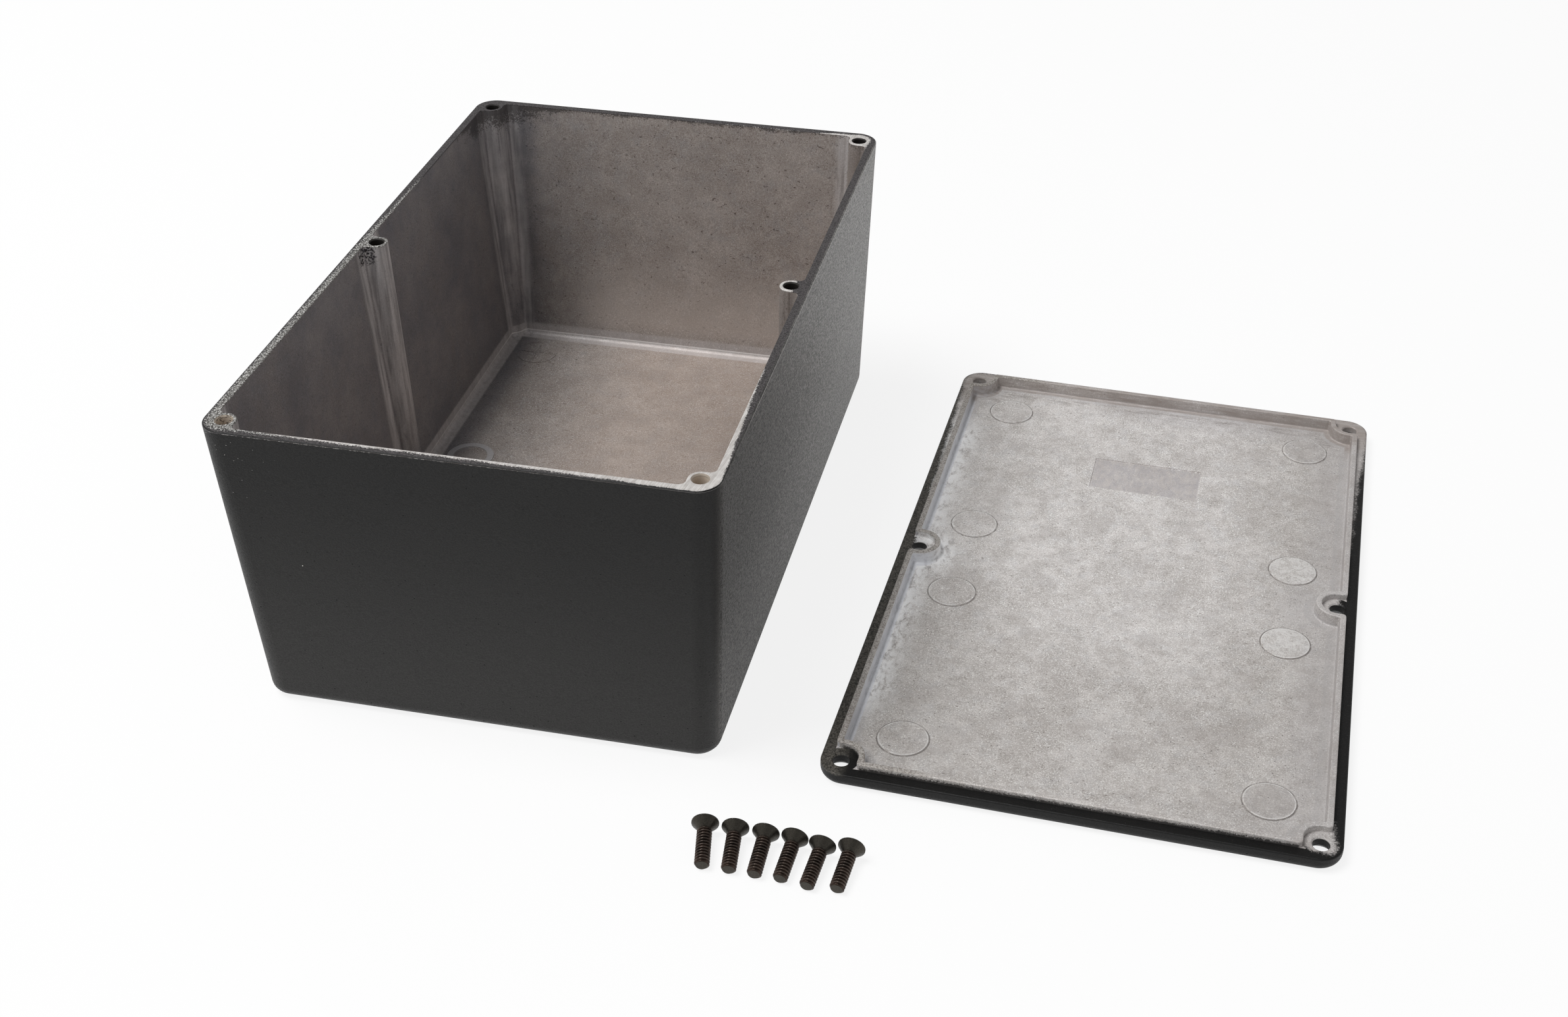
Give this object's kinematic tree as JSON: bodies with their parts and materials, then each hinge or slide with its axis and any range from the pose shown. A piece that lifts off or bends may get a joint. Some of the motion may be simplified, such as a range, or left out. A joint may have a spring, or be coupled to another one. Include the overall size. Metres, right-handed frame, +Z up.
{
  "type": "die cast aluminium box",
  "caption": "Rectangular die cast aluminium enclosure, dark painted outside and bare inside, with its lid off and lying inside up beside it, and its countersunk lid screws",
  "frame": {"origin": "centre of the case's flat bottom face", "axes": "+Z up out of the open case, +Y along the case's length towards its back, +X across it towards the lid that lies beside it"},
  "size_m": [0.2674, 0.2216, 0.0786],
  "materials": {
    "case_casting": "satin dark paint outside with fine orange peel, bare mottled casting inside",
    "lid_casting": "bare mottled casting inside, satin dark paint outside",
    "screw_steel": "black oxide"
  },
  "bodies": {
    "root": {"case_body": "case_casting", "lid": "lid_casting", "lid_screw_1": "screw_steel", "lid_screw_2": "screw_steel", "lid_screw_3": "screw_steel", "lid_screw_4": "screw_steel", "lid_screw_5": "screw_steel", "lid_screw_6": "screw_steel"}
  },
  "joints": []
}
